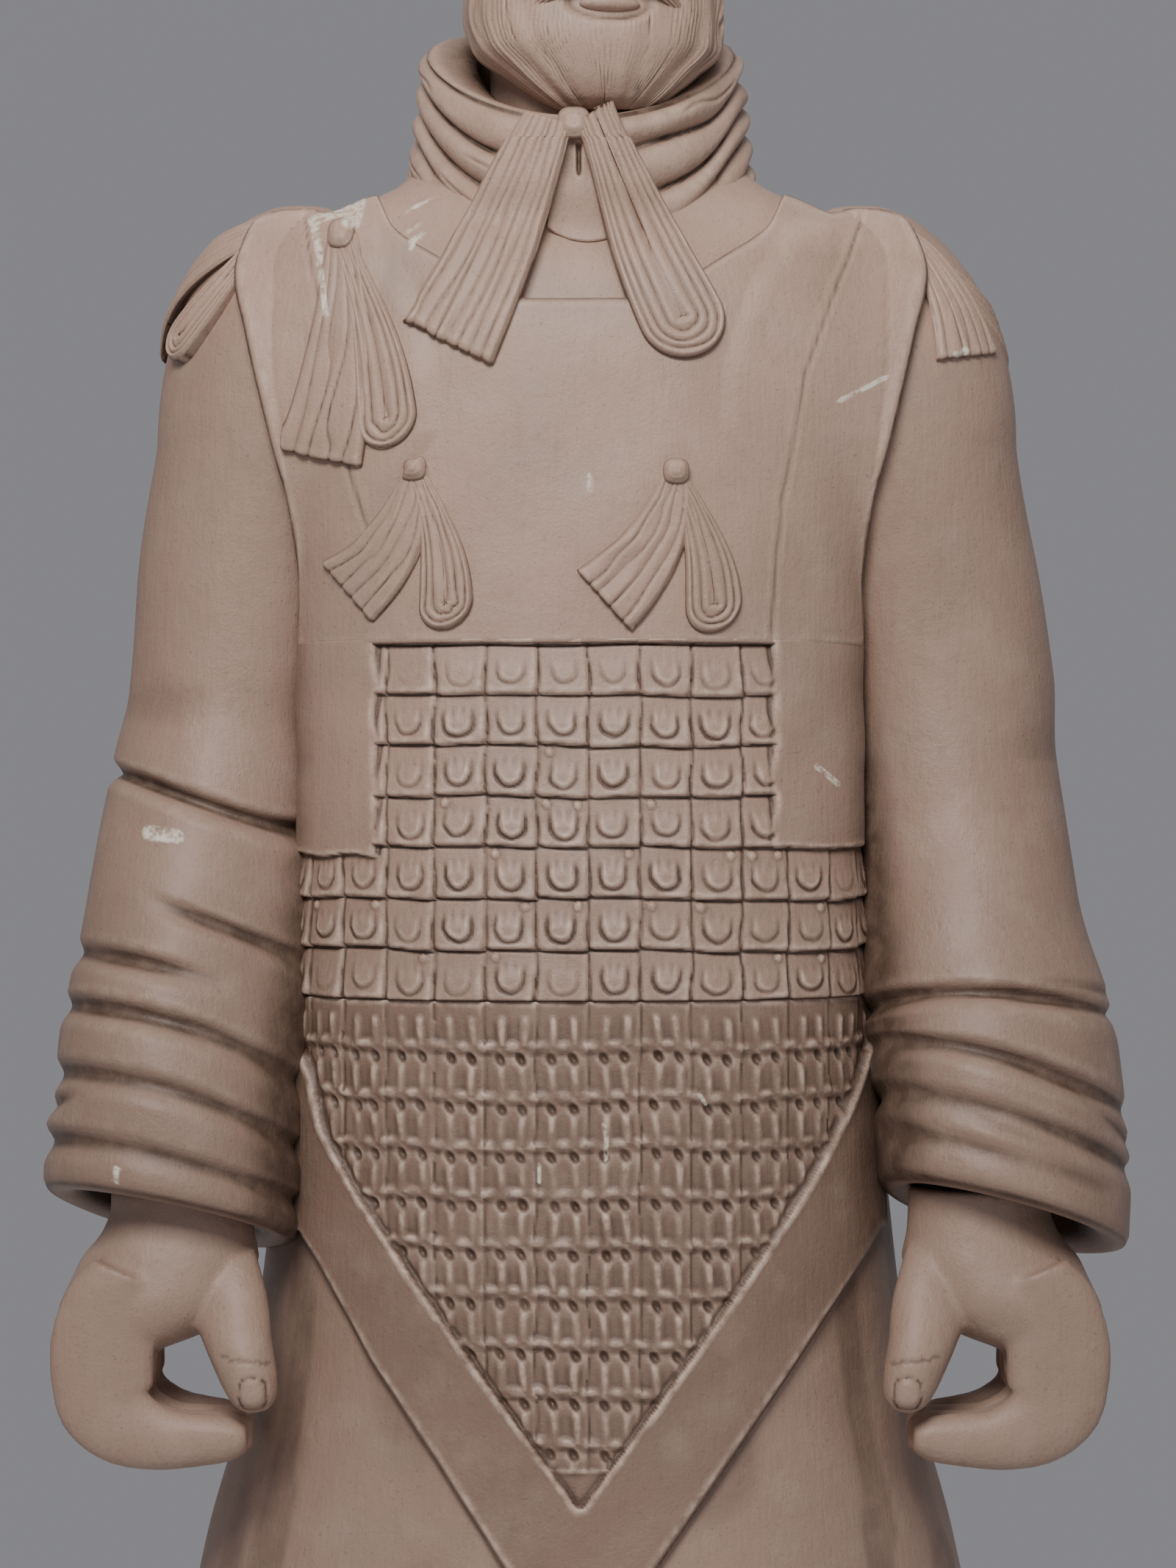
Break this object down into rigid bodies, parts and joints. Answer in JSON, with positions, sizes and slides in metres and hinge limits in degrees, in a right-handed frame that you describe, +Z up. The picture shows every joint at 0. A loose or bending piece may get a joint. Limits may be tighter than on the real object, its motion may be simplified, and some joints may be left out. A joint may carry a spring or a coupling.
{
  "type": "terracotta warrior statue",
  "caption": "Life-size fired-clay armoured officer standing on a low square-cornered base slab, with ribboned plate armour, pointed apron, neck scarf, bearded head and half-closed hands.",
  "frame": {"origin": "middle of the base slab's underside", "axes": "+Z up, the figure faces -Y, and its right hand is at -X"},
  "size_m": [0.7099, 0.43, 1.9073],
  "materials": {
    "base_clay": "fired clay, dull and dusty",
    "body_clay": "fired clay, smoothed, with a faint waxy sheen and dirt in the hollows",
    "head_clay": "fired clay, combed and brushed",
    "hand_clay": "fired clay, rubbed smooth"
  },
  "bodies": {
    "root": {"base_slab": "base_clay", "body": "body_clay", "head": "head_clay", "right_hand": "hand_clay", "left_hand": "hand_clay"}
  },
  "joints": []
}
